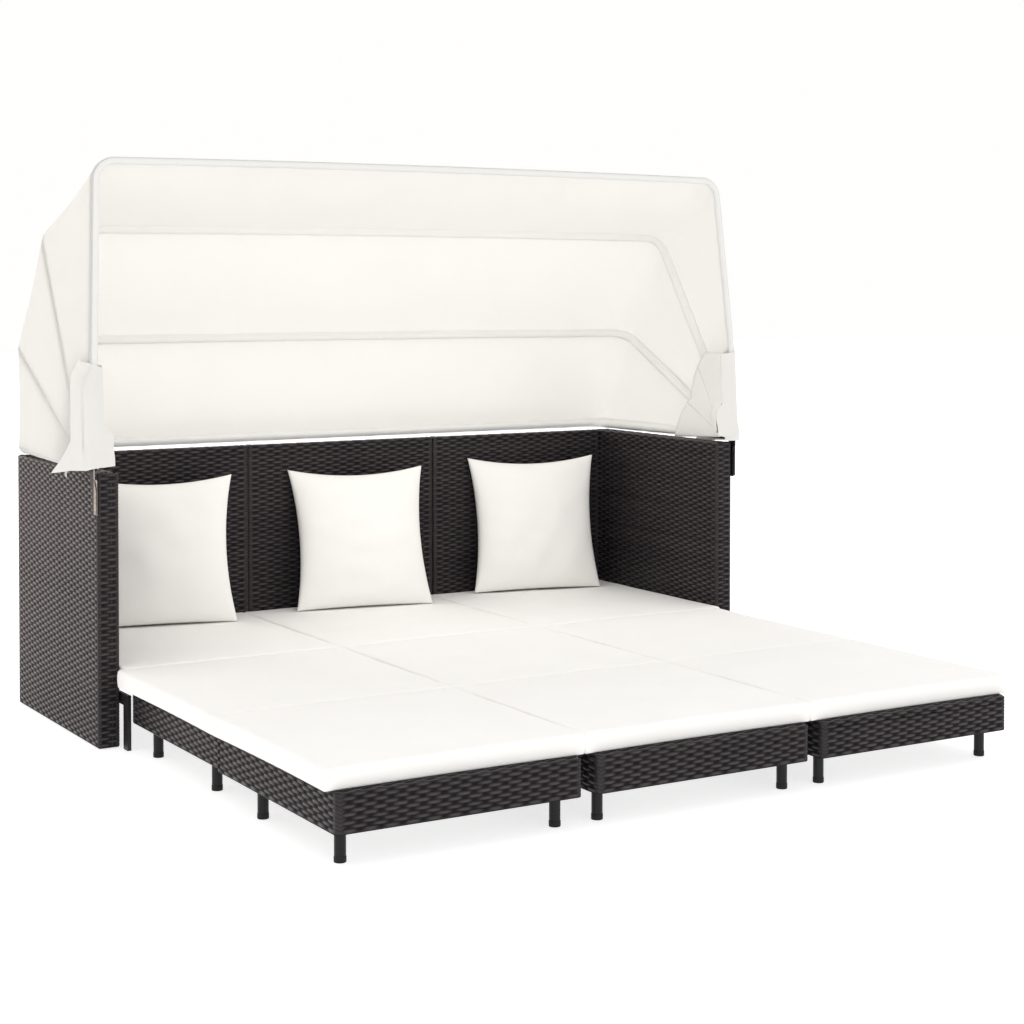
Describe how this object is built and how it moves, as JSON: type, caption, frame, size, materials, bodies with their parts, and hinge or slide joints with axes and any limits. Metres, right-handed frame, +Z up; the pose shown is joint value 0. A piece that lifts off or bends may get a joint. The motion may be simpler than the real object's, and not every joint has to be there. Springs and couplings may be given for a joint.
{
  "type": "outdoor daybed with canopy",
  "caption": "Woven outdoor daybed with arms and a back, a folding cloth canopy on bows, and cushioned modules that slide out to make a bed.",
  "frame": {"origin": "on the floor, midway across the width and midway in depth", "axes": "+X to the right seen from the front, +Y to the back, +Z up; the front row faces -Y"},
  "size_m": [2.0546, 1.9812, 1.5088],
  "materials": {
    "weave": "flat woven plastic strand, satin",
    "steel_frame": "black powder coat",
    "seat_steel": "black powder coat",
    "leg_steel": "black powder coat with plastic foot caps",
    "bow_tube": "powder coat",
    "black_steel": "black powder coat",
    "zinc": "zinc plated",
    "cushion_cloth": "cream woven polyester over foam",
    "canopy_cloth": "cream woven polyester"
  },
  "bodies": {
    "frame": {"left_arm_weave": "weave", "left_arm_frame": "steel_frame", "left_hinge_plate": "black_steel", "left_pivot_bolt": "zinc", "right_arm_weave": "weave", "right_arm_frame": "steel_frame", "right_hinge_plate": "black_steel", "right_pivot_bolt": "zinc", "left_back_panel": "weave", "middle_back_panel": "weave", "right_back_panel": "weave", "back_frame": "steel_frame", "seat_frame": "seat_steel", "left_rear_cushion": "cushion_cloth", "left_pillow": "cushion_cloth", "middle_rear_cushion": "cushion_cloth", "middle_pillow": "cushion_cloth", "right_rear_cushion": "cushion_cloth", "right_pillow": "cushion_cloth", "canopy_rear_bow": "bow_tube"},
    "left_middle_row": {"left_middle_row_frame": "leg_steel", "left_middle_row_slats": "seat_steel", "left_middle_row_left_apron": "weave", "left_middle_row_right_apron": "weave", "left_middle_cushion": "cushion_cloth"},
    "left_front_row": {"left_front_row_frame": "leg_steel", "left_front_row_slats": "seat_steel", "left_front_row_apron": "weave", "left_front_cushion": "cushion_cloth"},
    "middle_middle_row": {"middle_middle_row_frame": "leg_steel", "middle_middle_row_slats": "seat_steel", "middle_middle_row_left_apron": "weave", "middle_middle_row_right_apron": "weave", "middle_middle_cushion": "cushion_cloth"},
    "middle_front_row": {"middle_front_row_frame": "leg_steel", "middle_front_row_slats": "seat_steel", "middle_front_row_apron": "weave", "middle_front_cushion": "cushion_cloth"},
    "right_middle_row": {"right_middle_row_frame": "leg_steel", "right_middle_row_slats": "seat_steel", "right_middle_row_left_apron": "weave", "right_middle_row_right_apron": "weave", "right_middle_cushion": "cushion_cloth"},
    "right_front_row": {"right_front_row_frame": "leg_steel", "right_front_row_slats": "seat_steel", "right_front_row_apron": "weave", "right_front_cushion": "cushion_cloth"},
    "lower_bow": {"canopy_lower_bow": "bow_tube", "canopy_rear_panel": "canopy_cloth"},
    "upper_bow": {"canopy_upper_bow": "bow_tube", "canopy_middle_panel": "canopy_cloth"},
    "front_bow": {"canopy_front_bow": "bow_tube", "canopy_front_panel": "canopy_cloth"}
  },
  "joints": [
    {"name": "lower_bow_fold", "type": "hinge", "parent": "frame", "child": "lower_bow", "pos_m": [0, 0.26535, 0.715], "axis": [-1, 0, 0], "range_deg": [0, 21], "deforming": ["canopy_rear_panel"]},
    {"name": "upper_bow_fold", "type": "hinge", "parent": "lower_bow", "child": "upper_bow", "pos_m": [0, 0.26535, 0.715], "axis": [-1, 0, 0], "range_deg": [0, 24.5], "deforming": ["canopy_middle_panel"]},
    {"name": "front_bow_fold", "type": "hinge", "parent": "upper_bow", "child": "front_bow", "pos_m": [0, 0.26535, 0.715], "axis": [-1, 0, 0], "range_deg": [0, 23], "deforming": ["canopy_front_panel"]},
    {"name": "left_middle_row_slide", "type": "slide", "parent": "frame", "child": "left_middle_row", "axis": [0, 1, 0], "range_m": [0, 0.235], "deforming": ["left_middle_cushion"]},
    {"name": "left_front_row_slide", "type": "slide", "parent": "left_middle_row", "child": "left_front_row", "axis": [0, 1, 0], "range_m": [0, 0.235], "deforming": ["left_front_cushion"]},
    {"name": "middle_middle_row_slide", "type": "slide", "parent": "frame", "child": "middle_middle_row", "axis": [0, 1, 0], "range_m": [0, 0.235], "deforming": ["middle_middle_cushion"]},
    {"name": "middle_front_row_slide", "type": "slide", "parent": "middle_middle_row", "child": "middle_front_row", "axis": [0, 1, 0], "range_m": [0, 0.235], "deforming": ["middle_front_cushion"]},
    {"name": "right_middle_row_slide", "type": "slide", "parent": "frame", "child": "right_middle_row", "axis": [0, 1, 0], "range_m": [0, 0.235], "deforming": ["right_middle_cushion"]},
    {"name": "right_front_row_slide", "type": "slide", "parent": "right_middle_row", "child": "right_front_row", "axis": [0, 1, 0], "range_m": [0, 0.235], "deforming": ["right_front_cushion"]}
  ],
  "couplings": [
    {"joint": "upper_bow_fold", "follows": "lower_bow_fold", "ratio": 1.1667},
    {"joint": "front_bow_fold", "follows": "lower_bow_fold", "ratio": 1.0952}
  ]
}
